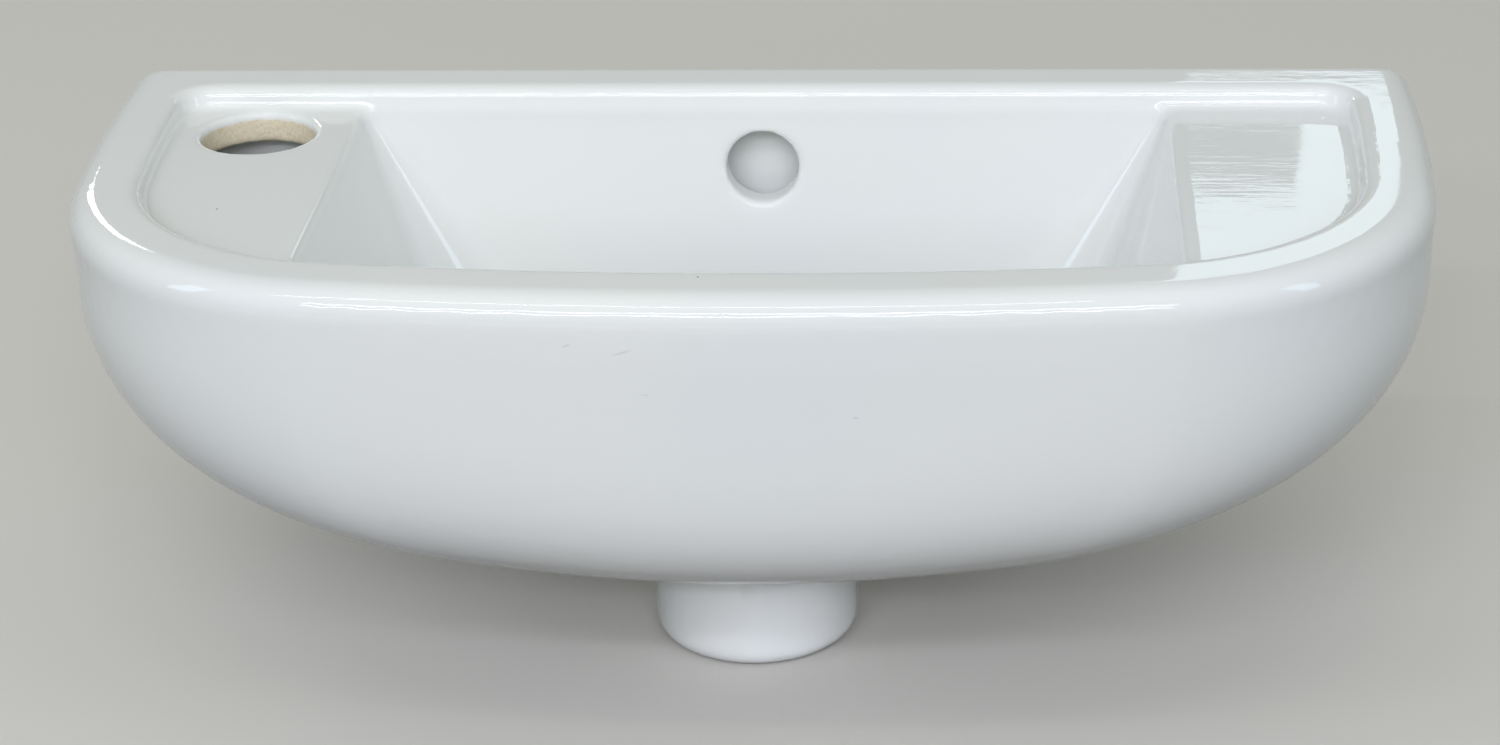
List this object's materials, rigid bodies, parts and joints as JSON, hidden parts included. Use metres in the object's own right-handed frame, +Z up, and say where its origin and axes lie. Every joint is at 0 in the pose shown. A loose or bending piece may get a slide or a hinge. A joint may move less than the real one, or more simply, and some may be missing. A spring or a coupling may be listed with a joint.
{
  "type": "wall-hung basin",
  "caption": "Slim wall-hung ceramic basin: bowl between ledges, tap hole in the left ledge, round overflow, and a push-to-open waste inside the boss below.",
  "frame": {"origin": "on the wall plane, midway between the two wall-fixing holes", "axes": "+X to the user's right, +Y into the wall (the front faces -Y), +Z up"},
  "size_m": [0.4, 0.1882, 0.147],
  "materials": {
    "glaze": "gloss white glaze",
    "chrome": "polished plating",
    "brass": "turned",
    "seal_rubber": "matt",
    "nylon": "moulded",
    "acetal": "moulded",
    "spring_steel": "drawn wire"
  },
  "bodies": {
    "fixed": {"basin": "glaze", "waste_body": "chrome", "flange_seal": "seal_rubber", "tail_gasket": "seal_rubber", "slip_washer": "nylon", "ring_nut": "brass", "cartridge_housing": "acetal", "barrel_collar": "brass", "cartridge_spring": "spring_steel"},
    "plug": {"plug_cap": "chrome", "plug_seal": "seal_rubber", "cartridge_plunger": "brass"},
    "cam": {"cam_sleeve": "acetal"}
  },
  "joints": [
    {"name": "plug_slide", "type": "slide", "parent": "fixed", "child": "plug", "axis": [0, 0, 1], "range_m": [-0.008, 0], "stiffness_N_per_m": 300, "springref_m": 0.02, "deforming": ["cartridge_spring"]},
    {"name": "cam_turn", "type": "hinge", "parent": "plug", "child": "cam", "pos_m": [0, -0.092, -0.045], "axis": [0, 0, 1], "range_deg": [-45, 0]}
  ],
  "couplings": [
    {"joint": "cam_turn", "follows": "plug_slide", "rad_per_m": 98}
  ]
}
